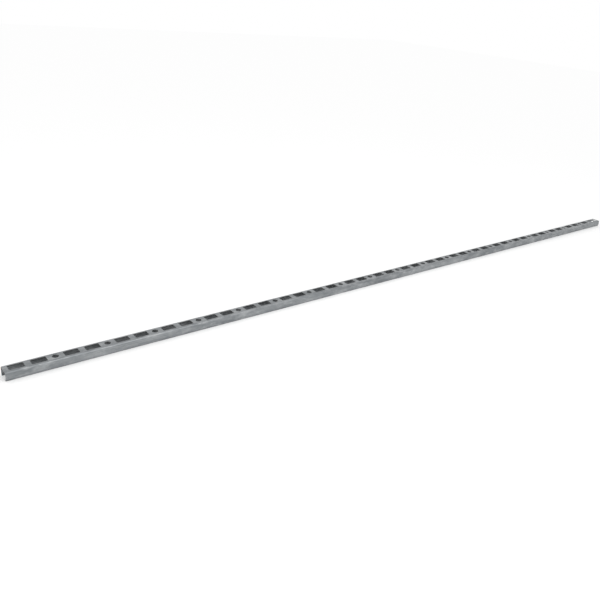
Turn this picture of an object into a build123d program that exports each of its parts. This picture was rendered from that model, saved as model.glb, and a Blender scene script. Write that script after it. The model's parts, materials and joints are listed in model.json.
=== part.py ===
"""Punched strut channel: 2 m of galvanised sheet, rolled to a C with lips that turn inwards.

The channel lies on its lips, with the punched web up and the open side down. X runs along the length,
Y across the web and Z up. The origin is at the middle of the plane that the lips rest on. Millimetres.
"""
from build123d import *
import os

os.makedirs("parts", exist_ok=True)

# The rolled section
LENGTH = 2000
WIDTH = 28
HEIGHT = 18
SHEET_THICKNESS = 1.5
WEB_BEND_RADIUS = 4        # outside of the bend between the web and a wall
LIP_BEND_RADIUS = 2.5      # outside of the bend between a wall and its lip
LIP_WIDTH = 5              # from the wall's outer face to the lip's free edge

# The punching: one round hole and one pair of slots in each pitch
PITCH = 100
FIRST_HOLE = 92.5          # from the -X end to the centre of the first round hole
HOLE_DIAMETER = 12
SLOT_LENGTH = 28
SLOT_WIDTH = 16
SLOT_CORNER_RADIUS = 1.5
SLOT_SPACING = 40          # between the centres of the two slots of a pair

PUNCH_DEPTH = SHEET_THICKNESS + WEB_BEND_RADIUS    # clears the web, also where a slot meets the bends


def rolled_section():
    """The C: one sheet of even thickness with four bends, drawn round its outside and open at the foot."""
    wall = WIDTH / 2
    lip_edge = wall - LIP_WIDTH
    corners = [
        (-lip_edge, 0),
        (-wall, 0),
        (-wall, HEIGHT),
        (wall, HEIGHT),
        (wall, 0),
        (lip_edge, 0),
    ]
    bends = (LIP_BEND_RADIUS, WEB_BEND_RADIUS, WEB_BEND_RADIUS, LIP_BEND_RADIUS)
    with BuildSketch(Plane.YZ.offset(-LENGTH / 2)) as section:
        with BuildLine():
            outside = FilletPolyline(*corners, radius=bends)
            offset(outside, amount=SHEET_THICKNESS, side=Side.RIGHT)
        make_face()
    return section.sketch


def copies(from_hole, size):
    """Every place of one opening of the pattern that leaves the whole opening inside the stock."""
    start = FIRST_HOLE + from_hole - LENGTH / 2
    reach = int(LENGTH / PITCH) + 1
    along = [start + step * PITCH for step in range(-reach, reach)]
    return [(x, 0) for x in along if abs(x) + size / 2 < LENGTH / 2]


def punching():
    """The holes and slots of the whole web: the pair of slots stands midway between two round holes."""
    with BuildSketch(Plane.XY.offset(HEIGHT)) as openings:
        with Locations(*copies(0, HOLE_DIAMETER)):
            Circle(HOLE_DIAMETER / 2)
        for side in (-1, 1):
            with Locations(*copies(PITCH / 2 + side * SLOT_SPACING / 2, SLOT_LENGTH)):
                RectangleRounded(SLOT_LENGTH, SLOT_WIDTH, SLOT_CORNER_RADIUS)
    return openings.sketch


def strut_channel():
    sheet = extrude(rolled_section(), LENGTH)
    return sheet - extrude(punching(), -PUNCH_DEPTH)


channel = strut_channel()
export_step(channel, "parts/strut_channel.step")
print("strut_channel", len(channel.solids()), "solid", round(channel.volume / 1000, 2), "cm3")
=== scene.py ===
# %% [markdown]
# # A punched strut channel
# The object is two metres of mounting rail. A coil of galvanised strip is punched flat, with one round
# hole and one pair of slots in every pitch, and is then rolled to a C whose lips turn inwards. It lies on
# those lips, with the punched web on top. It is one piece of steel, so the scene has one piece too.
# The work goes in this order: read the sizes, make the steel, give it its zinc, light it, place the camera.

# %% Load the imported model
import json
import math

import bpy
from mathutils import Matrix, Vector


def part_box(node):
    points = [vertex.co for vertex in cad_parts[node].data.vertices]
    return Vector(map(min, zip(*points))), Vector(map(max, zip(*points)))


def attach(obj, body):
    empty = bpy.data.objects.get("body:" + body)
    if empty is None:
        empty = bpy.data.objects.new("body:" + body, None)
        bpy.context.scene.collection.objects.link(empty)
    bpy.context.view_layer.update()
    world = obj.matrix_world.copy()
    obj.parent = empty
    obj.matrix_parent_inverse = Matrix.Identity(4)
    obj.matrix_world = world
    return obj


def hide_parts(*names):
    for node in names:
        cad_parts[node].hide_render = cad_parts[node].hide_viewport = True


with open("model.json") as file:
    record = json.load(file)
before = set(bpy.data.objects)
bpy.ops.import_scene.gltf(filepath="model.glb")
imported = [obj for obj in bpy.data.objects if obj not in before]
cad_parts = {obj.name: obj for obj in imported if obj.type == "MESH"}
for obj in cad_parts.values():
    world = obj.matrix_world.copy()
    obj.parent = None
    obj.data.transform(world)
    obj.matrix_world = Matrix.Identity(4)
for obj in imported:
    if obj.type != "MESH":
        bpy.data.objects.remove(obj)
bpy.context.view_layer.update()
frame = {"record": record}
MM = 0.001

# %% [markdown]
# ## Sizes
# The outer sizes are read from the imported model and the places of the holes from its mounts, so the
# dressed channel always lies on the one that was engineered. The rest is what the rolling mill and the
# punch would be set to: sheet, bends, lips and openings.

# %% Sizes of the rolled section and of the punching
low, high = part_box("strut_channel")
LENGTH, WIDTH, HEIGHT = (high - low)
SHEET = 1.5 * MM
WEB_BEND = 4.0 * MM
LIP_BEND = 2.5 * MM
LIP_WIDTH = 5.0 * MM
mounts = {mount["name"]: mount for mount in frame["record"]["mounts"]}
PITCH = 100 * MM
FIRST_HOLE = mounts["end_hole_left"]["pos_m"][0]
LAST_HOLE = mounts["end_hole_right"]["pos_m"][0]
PERIODS = round((LAST_HOLE - FIRST_HOLE) / PITCH) + 1
HOLE_RADIUS = mounts["end_hole_left"]["dims"]["r_mm"] * MM
SLOT_LENGTH = 28 * MM
SLOT_WIDTH = 16 * MM
SLOT_CORNER = 1.5 * MM
SLOT_SPACING = 40 * MM
SHEARED_EDGE = 0.22 * MM    # how far the punch and the saw round the edge of the sheet over
print("channel", round(LENGTH, 4), round(WIDTH, 4), round(HEIGHT, 4), "periods", PERIODS)

# %% [markdown]
# ## The steel
# A channel like this could be cut from a box or drawn face by face. Here it is made the way its rule
# reads: a closed outline of the bent sheet is swept along the stock, and a row of punches, repeated one
# pitch apart, is taken out of it. Geometry Nodes suit both steps, because every size stays a named input
# and the twentieth pitch costs no more work than the first.

# %% A helper that adds one node with its settings and links
def node(tree, kind, label="", links=(), **settings):
    """Adds a node, sets its properties, and fills its inputs with values or with other nodes' sockets."""
    made = tree.nodes.new(kind)
    made.label = label
    for name, value in settings.items():
        setattr(made, name, value)
    for key, value in dict(links).items():
        socket = made.inputs[key]
        if isinstance(value, bpy.types.NodeSocket):
            tree.links.new(value, socket)
        else:
            socket.default_value = value
    return made


def group(name, sizes):
    """A Geometry Nodes tree with one named length for each size, a material and a geometry output."""
    tree = bpy.data.node_groups.new(name, "GeometryNodeTree")
    tree.interface.new_socket("Geometry", in_out="OUTPUT", socket_type="NodeSocketGeometry")
    for label in sizes:
        tree.interface.new_socket(label, in_out="INPUT", socket_type="NodeSocketFloat")
    tree.interface.new_socket("Periods", in_out="INPUT", socket_type="NodeSocketInt")
    tree.interface.new_socket("Zinc", in_out="INPUT", socket_type="NodeSocketMaterial")
    tree.interface.new_socket("Sheared", in_out="INPUT", socket_type="NodeSocketMaterial")
    return tree, node(tree, "NodeGroupInput").outputs, node(tree, "NodeGroupOutput")


# %% [markdown]
# The section is drawn with a corner wherever the mill makes a bend, and each corner is then rounded with
# its own radius. The outside and the inside of a bend share one centre, so the inner radius is the outer
# one less the sheet, and the sheet keeps its thickness all the way round.

# %% The outline of the rolled sheet
BEND_STEPS = 10


def section_corners():
    """Corners of the C in Y and Z with the radius of each, round the outside and back along the inside."""
    side, lip = WIDTH / 2, WIDTH / 2 - LIP_WIDTH
    outside = [
        (-lip, 0, 0),
        (-side, 0, LIP_BEND),
        (-side, HEIGHT, WEB_BEND),
        (side, HEIGHT, WEB_BEND),
        (side, 0, LIP_BEND),
        (lip, 0, 0),
    ]
    inside = [
        (lip, SHEET, 0),
        (side - SHEET, SHEET, LIP_BEND - SHEET),
        (side - SHEET, HEIGHT - SHEET, WEB_BEND - SHEET),
        (-side + SHEET, HEIGHT - SHEET, WEB_BEND - SHEET),
        (-side + SHEET, SHEET, LIP_BEND - SHEET),
        (-lip, SHEET, 0),
    ]
    return outside + inside


def rounded(corners):
    """The closed outline with an arc of even steps in place of every corner that has a radius."""
    outline = []
    for index, (y, z, radius) in enumerate(corners):
        here = Vector((y, z))
        if radius == 0:
            outline.append(here)
            continue
        before = (Vector(corners[index - 1][:2]) - here).normalized()
        after = (Vector(corners[(index + 1) % len(corners)][:2]) - here).normalized()
        centre = here + (before + after) * radius
        for step in range(BEND_STEPS + 1):
            turn = math.radians(90) * step / BEND_STEPS
            outline.append(centre - after * radius * math.cos(turn) - before * radius * math.sin(turn))
    return outline


def section_curve(outline):
    """The outline as a closed poly curve, upside down because a sweep along +X turns its Y to face -Z."""
    curve = bpy.data.curves.new("c_section", "CURVE")
    spline = curve.splines.new("POLY")
    spline.points.add(len(outline) - 1)
    for point, (y, z) in zip(spline.points, reversed(outline)):
        point.co = (y, -z, 0, 1)
    spline.use_cyclic_u = True
    profile = bpy.data.objects.new("c_section", curve)
    bpy.context.scene.collection.objects.link(profile)
    return profile


outline = rounded(section_corners())
profile = section_curve(outline)
print("outline points", len(outline))

# %% [markdown]
# ## Sweeping and punching
# The tree below sweeps the outline along X, closes its ends, and sets a row of punches over it. Each punch
# is a short post: a round one for the hole, and a rounded rectangle for the slots. A mesh boolean takes
# them all out at once. The posts carry the material of a sheared edge, and the boolean leaves that
# material on the walls that they cut, which is just where the real strip shows bare steel.

# %% The tree of the punched channel
POST_FOOT = HEIGHT - SHEET - WEB_BEND       # the punches start inside the channel, clear of the lips
SIZES = {
    "Start": low.x,
    "End": low.x + LENGTH,
    "Pitch": PITCH,
    "Post foot": POST_FOOT,
    "Post height": 2 * (HEIGHT - POST_FOOT),
    "Hole radius": HOLE_RADIUS,
    "First hole": FIRST_HOLE,
    "Slot length": SLOT_LENGTH,
    "Slot width": SLOT_WIDTH,
    "Slot corner": SLOT_CORNER,
    "Slot before": FIRST_HOLE - PITCH / 2 - SLOT_SPACING / 2,
    "Slot after": FIRST_HOLE - PITCH / 2 + SLOT_SPACING / 2,
}
HOLE_SIDES = 48
CORNER_STEPS = 6
WELD = 1e-6                 # metres, far below any real edge


def channel_tree():
    tree, given, result = group("punched_channel", SIZES)

    # the swept sheet
    left = node(tree, "ShaderNodeCombineXYZ", "left end", links={"X": given["Start"]})
    right = node(tree, "ShaderNodeCombineXYZ", "right end", links={"X": given["End"]})
    rail = node(tree, "GeometryNodeCurvePrimitiveLine", "along the stock",
                links={"Start": left.outputs[0], "End": right.outputs[0]})
    section = node(tree, "GeometryNodeObjectInfo", "the C", links={"Object": profile})
    swept = node(tree, "GeometryNodeCurveToMesh", "rolled sheet",
                 links={"Curve": rail.outputs[0], "Profile Curve": section.outputs["Geometry"],
                        "Fill Caps": True})
    sheet = node(tree, "GeometryNodeSetMaterial", "zinc",
                 links={"Geometry": swept.outputs[0], "Material": given["Zinc"]})

    step = node(tree, "ShaderNodeCombineXYZ", "one pitch", links={"X": given["Pitch"]})
    post = node(tree, "ShaderNodeCombineXYZ", "post", links={"Z": given["Post height"]})

    def posts(shape, starts):
        """Fills the closed curve, raises it to a post and sets one at every point of the rows."""
        face = node(tree, "GeometryNodeFillCurve", links={"Curve": shape}, mode="NGONS")
        solid = node(tree, "GeometryNodeExtrudeMesh", "punch",
                     links={"Mesh": face.outputs[0], "Offset": post.outputs[0], "Individual": False})
        turned = node(tree, "GeometryNodeFlipFaces", "foot faces down", links={"Mesh": face.outputs[0]})
        closed = node(tree, "GeometryNodeJoinGeometry")
        tree.links.new(turned.outputs[0], closed.inputs[0])
        tree.links.new(solid.outputs["Mesh"], closed.inputs[0])
        welded = node(tree, "GeometryNodeMergeByDistance",
                      links={"Geometry": closed.outputs[0], "Distance": WELD})
        rows = node(tree, "GeometryNodeJoinGeometry")
        for start in starts:
            first = node(tree, "ShaderNodeCombineXYZ", start,
                         links={"X": given[start], "Z": given["Post foot"]})
            row = node(tree, "GeometryNodeMeshLine", "one point for each pitch",
                       links={"Count": given["Periods"], "Start Location": first.outputs[0],
                              "Offset": step.outputs[0]})
            tree.links.new(row.outputs[0], rows.inputs[0])
        return node(tree, "GeometryNodeInstanceOnPoints", "the whole row",
                    links={"Points": rows.outputs[0], "Instance": welded.outputs[0]}).outputs[0]

    hole = node(tree, "GeometryNodeCurvePrimitiveCircle", "round punch",
                links={"Resolution": HOLE_SIDES, "Radius": given["Hole radius"]})
    blank = node(tree, "GeometryNodeCurvePrimitiveQuadrilateral", "slot punch",
                 links={"Width": given["Slot length"], "Height": given["Slot width"]})
    slot = node(tree, "GeometryNodeFilletCurve", "slot corners",
                links={"Curve": blank.outputs[0], "Count": CORNER_STEPS, "Radius": given["Slot corner"],
                       "Limit Radius": True}, mode="POLY")
    punches = node(tree, "GeometryNodeJoinGeometry")
    tree.links.new(posts(hole.outputs[0], ["First hole"]), punches.inputs[0])
    tree.links.new(posts(slot.outputs[0], ["Slot before", "Slot after"]), punches.inputs[0])
    real = node(tree, "GeometryNodeRealizeInstances", links={"Geometry": punches.outputs[0]})
    bare = node(tree, "GeometryNodeSetMaterial", "sheared steel",
                links={"Geometry": real.outputs[0], "Material": given["Sheared"]})

    # the sheet less the punches; the faces that a punch made stay bare steel
    punched = node(tree, "GeometryNodeMeshBoolean", "punching", operation="DIFFERENCE", solver="EXACT",
                   links={"Mesh 1": sheet.outputs[0], "Mesh 2": bare.outputs[0]})
    whole = node(tree, "GeometryNodeRealizeInstances", links={"Geometry": punched.outputs["Mesh"]})
    cuts = node(tree, "GeometryNodeMaterialSelection", "cut faces", links={"Material": given["Sheared"]})
    dressed = node(tree, "GeometryNodeSetMaterial", "bare steel on the cuts",
                   links={"Geometry": whole.outputs[0], "Selection": cuts.outputs[0],
                          "Material": given["Sheared"]})
    tree.links.new(dressed.outputs[0], result.inputs[0])
    return tree


# %% [markdown]
# ## The zinc
# Hot-dip galvanised strip is coated in a bath of molten zinc before it is punched. The zinc freezes in flat
# crystals, the spangle, which show as faint patches a few millimetres across. Rolling then draws fine
# streaks along the stock, and handling leaves cloudier patches a hand's width long. To the eye it is a
# cool, half-dull metal that mottles softly and never mirrors. All of it is procedural and reads Object
# coordinates, so each pattern keeps its size in millimetres.

# %% Colours and material helpers
def linear(hex_colour):
    """An sRGB hex colour as the linear values that a shader works with."""
    parts = [int(hex_colour[i:i + 2], 16) / 255 for i in (1, 3, 5)]
    return tuple(c / 12.92 if c <= 0.04045 else ((c + 0.055) / 1.055) ** 2.4 for c in parts) + (1.0,)


def per_metre(size_mm):
    """The texture scale whose features are about this many millimetres across."""
    return 1.0 / (size_mm * MM)


def material(name):
    made = bpy.data.materials.new(name)
    made.use_nodes = True
    made.node_tree.nodes.clear()
    return made, made.node_tree


# %% Hot-dip galvanised steel strip
ZINC_LIGHT = "#9FA2A4"
ZINC_DARK = "#7A7E81"
ZINC_PALE = "#BDBFC0"
ZINC_DEEP = "#505458"

# each pattern: its size along and across the stock in millimetres, and how much fine detail it holds
PATTERNS = {
    "clouds": (70, 22, 4.0),        # the coating's tone drifts over a hand's width
    "blotches": (24, 9, 3.0),       # smaller, sharper patches left where the zinc ran
    "roll streaks": (220, 1.1, 5.0),    # drawn by the rolls, a millimetre wide and long as a hand
    "grain": (0.9, 0.7, 2.0),       # the fine bite that keeps the zinc from mirroring
}
SPANGLE = (9, 6)            # millimetres along and across for one crystal
NOISE_ROUGHNESS = 0.58      # how strongly each finer octave of a pattern shows
ROUGH_RANGE = (0.34, 0.46)  # the zinc's roughness from its clean patches to its dull ones
CRYSTAL_SHIFT = (-0.04, 0.05)   # what one crystal takes from that or adds to it
DRAWN_DEPTH = 0.06 * MM     # relief of the roll streaks
GRAIN_DEPTH = 0.02 * MM     # relief of the fine grain


def galvanised_steel():
    zinc, tree = material("hot_dip_galvanised_steel")
    place = node(tree, "ShaderNodeTexCoord").outputs["Object"]

    noise = {}
    for name, (along, across, detail) in PATTERNS.items():
        scaled = node(tree, "ShaderNodeMapping", links={
            "Vector": place, "Scale": (per_metre(along), per_metre(across), per_metre(across))})
        noise[name] = node(tree, "ShaderNodeTexNoise", name, links={
            "Vector": scaled.outputs[0], "Scale": 1.0, "Detail": detail,
            "Roughness": NOISE_ROUGHNESS}).outputs["Fac"]

    # spangle: flat crystals, each a little lighter or darker than the next
    along, across = SPANGLE
    scaled = node(tree, "ShaderNodeMapping", links={
        "Vector": place, "Scale": (per_metre(along), per_metre(across), per_metre(across))})
    crystals = node(tree, "ShaderNodeTexVoronoi", "spangle", feature="F1", links={
        "Vector": scaled.outputs[0], "Scale": 1.0, "Randomness": 1.0})
    spangle = node(tree, "ShaderNodeSeparateColor", links={"Color": crystals.outputs["Color"]}).outputs[0]

    # tone over tone: what drives each layer, the range it works in, its colour and how strongly it shows
    tone = linear(ZINC_DARK)
    for driver, start, end, colour, strength in (
            (noise["clouds"], 0.32, 0.68, ZINC_LIGHT, 1.0),
            (noise["blotches"], 0.48, 0.72, ZINC_PALE, 0.65),
            (spangle, 0.1, 0.95, ZINC_DARK, 0.28),
            (noise["roll streaks"], 0.48, 0.76, ZINC_DEEP, 0.5)):
        share = node(tree, "ShaderNodeMapRange", links={
            "Value": driver, "From Min": start, "From Max": end, "To Max": strength})
        tone = node(tree, "ShaderNodeMix", data_type="RGBA", links={
            0: share.outputs[0], 6: tone, 7: linear(colour)}).outputs[2]

    patchy = node(tree, "ShaderNodeMapRange", "duller patches", links={
        "Value": noise["blotches"], "From Min": 0.3, "From Max": 0.7,
        "To Min": ROUGH_RANGE[0], "To Max": ROUGH_RANGE[1]})
    crystal = node(tree, "ShaderNodeMapRange", "duller crystals", links={
        "Value": spangle, "To Min": CRYSTAL_SHIFT[0], "To Max": CRYSTAL_SHIFT[1]})
    rough = node(tree, "ShaderNodeMath", operation="ADD", links={
        0: patchy.outputs[0], 1: crystal.outputs[0]})
    drawn = node(tree, "ShaderNodeBump", "drawn relief", links={
        "Height": noise["roll streaks"], "Strength": 0.25, "Distance": DRAWN_DEPTH})
    fine = node(tree, "ShaderNodeBump", "grain relief", links={
        "Height": noise["grain"], "Strength": 0.3, "Distance": GRAIN_DEPTH, "Normal": drawn.outputs[0]})
    metal = node(tree, "ShaderNodeBsdfPrincipled", links={
        "Base Color": tone, "Metallic": 1.0, "Roughness": rough.outputs[0], "Normal": fine.outputs[0]})
    surface = node(tree, "ShaderNodeOutputMaterial")
    tree.links.new(metal.outputs[0], surface.inputs[0])
    return zinc


zinc = galvanised_steel()
print("material", zinc.name)

# %% [markdown]
# Where the punch went through, the wall of the cut shows the steel itself: a bright burnished band where
# the punch slid, and a duller torn band below it. Neither has zinc, so it is darker and a
# little warmer than the faces, with fine marks that run through the sheet.

# %% Sheared steel
STEEL_BURNISHED = "#A3A3A2"
STEEL_TORN = "#7C7A77"
STEEL_DULL = "#6A6661"
TORN_FULL = 0.7             # share of the sheet below its face where the cut is all torn
TORN_START = 0.4            # and where the burnished band ends
MARK_ACROSS = 0.5           # millimetres between the marks of the cut
MARK_THROUGH = 6            # millimetres that a mark runs through the sheet
MARK_DEPTH = 0.05 * MM
STEEL_ROUGH = (0.32, 0.55)  # burnished, torn


def sheared_steel():
    bare, tree = material("sheared_bare_steel")
    place = node(tree, "ShaderNodeTexCoord").outputs["Object"]
    height = node(tree, "ShaderNodeSeparateXYZ", links={"Vector": place}).outputs["Z"]
    torn = node(tree, "ShaderNodeMapRange", "torn band", links={
        "Value": height, "From Min": HEIGHT - SHEET * TORN_FULL,
        "From Max": HEIGHT - SHEET * TORN_START,
        "To Min": 1.0, "To Max": 0.0}).outputs[0]
    through = node(tree, "ShaderNodeMapping", "through the sheet", links={
        "Vector": place,
        "Scale": (per_metre(MARK_ACROSS), per_metre(MARK_ACROSS), per_metre(MARK_THROUGH))})
    marks = node(tree, "ShaderNodeTexNoise", "shear marks", links={
        "Vector": through.outputs[0], "Scale": 1.0, "Detail": 3.0}).outputs["Fac"]
    tone = node(tree, "ShaderNodeMix", data_type="RGBA", links={
        0: torn, 6: linear(STEEL_BURNISHED), 7: linear(STEEL_TORN)})
    wear = node(tree, "ShaderNodeMapRange", "wear", links={
        "Value": marks, "From Min": 0.4, "From Max": 0.7, "To Max": 0.6})
    worn = node(tree, "ShaderNodeMix", data_type="RGBA", links={
        0: wear.outputs[0], 6: tone.outputs[2], 7: linear(STEEL_DULL)})
    relief = node(tree, "ShaderNodeBump", links={
        "Height": marks, "Strength": 0.5, "Distance": MARK_DEPTH})
    rough = node(tree, "ShaderNodeMapRange", "duller where torn", links={
        "Value": torn, "To Min": STEEL_ROUGH[0], "To Max": STEEL_ROUGH[1]})
    metal = node(tree, "ShaderNodeBsdfPrincipled", links={
        "Base Color": worn.outputs[2], "Metallic": 1.0, "Roughness": rough.outputs[0],
        "Normal": relief.outputs[0]})
    surface = node(tree, "ShaderNodeOutputMaterial")
    tree.links.new(metal.outputs[0], surface.inputs[0])
    return bare


bare = sheared_steel()
print("material", bare.name)

# %% [markdown]
# ## Making the channel
# The tree's inputs are set by each socket's identifier before the object is first evaluated. Its result is
# then kept as a plain mesh. A small bevel rounds the sheared edges over, as a punch and a saw leave them,
# and weighted normals keep the wide flats flat right up to the bends.

# %% The strut channel
EDGE_SEGMENTS = 2
EDGE_ANGLE = 50             # degrees: sheared edges are sharper than this, the steps of a bend are not


def grown(name, tree, values):
    """The tree's result as a plain mesh object, with the tree itself taken off again."""
    holder = bpy.data.objects.new(name + "_tree", bpy.data.meshes.new(name))
    bpy.context.scene.collection.objects.link(holder)
    modifier = holder.modifiers.new("tree", "NODES")
    modifier.node_group = tree
    for item in tree.interface.items_tree:
        if item.in_out == "INPUT":
            modifier[item.identifier] = values[item.name]
    return settled(name, holder)


def settled(name, holder):
    """The object's evaluated shape as a new plain object. The old one is removed."""
    shape = bpy.data.meshes.new_from_object(holder.evaluated_get(bpy.context.evaluated_depsgraph_get()))
    shape.name = name
    made = bpy.data.objects.new(name, shape)
    bpy.context.scene.collection.objects.link(made)
    bpy.data.objects.remove(holder)
    return made


def finished(channel):
    """Rolls the sheared edges over and shades the bends smoothly between true flats."""
    name = channel.name
    channel.name = name + "_raw"
    for polygon in channel.data.polygons:
        polygon.use_smooth = True
    edge = channel.modifiers.new("sheared edges", "BEVEL")
    edge.width = SHEARED_EDGE
    edge.segments = EDGE_SEGMENTS
    edge.limit_method = "ANGLE"
    edge.angle_limit = math.radians(EDGE_ANGLE)
    edge.use_clamp_overlap = False
    normals = channel.modifiers.new("flats", "WEIGHTED_NORMAL")
    normals.weight = 100
    normals.keep_sharp = True
    return settled(name, channel)


values = dict(SIZES, Periods=PERIODS, Zinc=zinc, Sheared=bare)
channel = finished(grown("strut_channel_steel", channel_tree(), values))
bpy.data.objects.remove(profile)
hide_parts("strut_channel")
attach(channel, "root")
print("triangles", sum(len(polygon.vertices) - 2 for polygon in channel.data.polygons))

# %% [markdown]
# ## The studio
# The rail lies on white paper in a white room, which gives nearly all of the light, at a plain level. One
# large soft box over the left half adds a little, and draws a faint line of light along the bend.
# The paper and the room also read as white to the camera, and to the rays that metal and glass send out,
# so the metal shows the same background that the eye sees. Most of the paper's tone is its own matt
# surface, so the rail's shadow stays on it and the inside of the channel stays dark.

# %% Floor and room
FLOOR_SIZE = 16.0           # metres, wide enough to fill the view
ROOM_LIGHT = 1.0            # what the room adds to matt surfaces, where 1 is full daylight white
BACKGROUND_WHITE = 1.0      # what the camera, metal and glass see of the paper and the room
SHADOW_SHARE = 0.9          # how much of the paper's tone is its own matt, shadowed surface


def sees_background(tree):
    """One for the rays that show the background: the camera's, and those of metal and glass."""
    ray = node(tree, "ShaderNodeLightPath")
    mirrored = node(tree, "ShaderNodeMath", operation="MAXIMUM", links={
        0: ray.outputs["Is Camera Ray"], 1: ray.outputs["Is Glossy Ray"]})
    either = node(tree, "ShaderNodeMath", operation="MAXIMUM", links={
        0: mirrored.outputs[0], 1: ray.outputs["Is Transmission Ray"]})
    return either.outputs[0]


def paper_white():
    """Matt white paper that reads as the white background wherever no shadow lies."""
    paper, tree = material("white_paper")
    matt = node(tree, "ShaderNodeBsdfDiffuse", links={"Color": linear("#FDFDFD")})
    glow = node(tree, "ShaderNodeEmission", links={
        "Color": linear("#FFFFFF"), "Strength": BACKGROUND_WHITE})
    kept = node(tree, "ShaderNodeMixShader", links={0: SHADOW_SHARE, 1: glow.outputs[0], 2: matt.outputs[0]})
    seen = node(tree, "ShaderNodeMixShader", links={
        0: sees_background(tree), 1: matt.outputs[0], 2: kept.outputs[0]})
    surface = node(tree, "ShaderNodeOutputMaterial")
    tree.links.new(seen.outputs[0], surface.inputs[0])
    return paper


floor_half = FLOOR_SIZE / 2
paper_mesh = bpy.data.meshes.new("floor")
paper_mesh.from_pydata([(-floor_half, -floor_half, 0), (floor_half, -floor_half, 0),
                        (floor_half, floor_half, 0), (-floor_half, floor_half, 0)], [], [(0, 1, 2, 3)])
paper_mesh.materials.append(paper_white())
floor = bpy.data.objects.new("floor", paper_mesh)
bpy.context.scene.collection.objects.link(floor)

world = bpy.data.worlds.new("white_room")
bpy.context.scene.world = world
world.use_nodes = True
room = world.node_tree
room.nodes.clear()
ambient = node(room, "ShaderNodeBackground", links={"Color": linear("#FFFFFF"), "Strength": ROOM_LIGHT})
white = node(room, "ShaderNodeBackground", links={
    "Color": linear("#FFFFFF"), "Strength": BACKGROUND_WHITE})
shown = node(room, "ShaderNodeMixShader", links={
    0: sees_background(room), 1: ambient.outputs[0], 2: white.outputs[0]})
room_surface = node(room, "ShaderNodeOutputWorld")
room.links.new(shown.outputs[0], room_surface.inputs[0])
print("stage", floor.name, "room light", ROOM_LIGHT)

# %% Lamps
KEY_WATTS = 4
KEY_PLACE = (-0.45, -0.75, 1.1)
KEY_TARGET = (-0.45, 0, 0)
KEY_SIZE = (1.5, 0.7)


def softbox(name, place, target, width, depth, watts):
    """An area lamp at place that faces target."""
    lamp = bpy.data.lights.new(name, "AREA")
    lamp.shape = "RECTANGLE"
    lamp.size, lamp.size_y = width, depth
    lamp.energy = watts
    made = bpy.data.objects.new(name, lamp)
    bpy.context.scene.collection.objects.link(made)
    made.location = place
    made.rotation_euler = (Vector(target) - Vector(place)).to_track_quat("-Z", "Y").to_euler()
    return made


key = softbox("key_softbox", KEY_PLACE, KEY_TARGET, *KEY_SIZE, KEY_WATTS)
print("lamps", key.name)

# %% [markdown]
# ## The camera
# It stands near the left end, about knee height over the rail, and looks along it, so that the stock runs
# away to the upper right. Its place, aim and lens were fitted to the rail's edges and openings.

# %% Camera
CAMERA_PLACE = (-1.2359, -1.0660, 0.6595)
CAMERA_HEADING = 49.75      # degrees from +X towards +Y
CAMERA_PITCH = -25.18
CAMERA_ROLL = 5.29
CAMERA_LENS = 39.2          # millimetres on a 36 mm sensor


def camera_turn(heading, pitch, roll):
    """The camera's rotation from where it looks and how far it leans."""
    heading, pitch, roll = (math.radians(angle) for angle in (heading, pitch, roll))
    level_reach = math.cos(pitch)
    forward = Vector((level_reach * math.cos(heading), level_reach * math.sin(heading), math.sin(pitch)))
    level = forward.cross(Vector((0, 0, 1))).normalized()
    upright = level.cross(forward)
    right = level * math.cos(roll) + upright * math.sin(roll)
    up = upright * math.cos(roll) - level * math.sin(roll)
    return Matrix((right, up, -forward)).transposed()


lens = bpy.data.cameras.new("camera")
lens.sensor_width = 36
lens.lens = CAMERA_LENS
camera = bpy.data.objects.new("camera", lens)
bpy.context.scene.collection.objects.link(camera)
camera.matrix_world = (Matrix.Translation(CAMERA_PLACE)
                       @ camera_turn(CAMERA_HEADING, CAMERA_PITCH, CAMERA_ROLL).to_4x4())
bpy.context.scene.camera = camera
bpy.context.scene.view_settings.view_transform = "Standard"
print("camera", [round(v, 3) for v in camera.location])
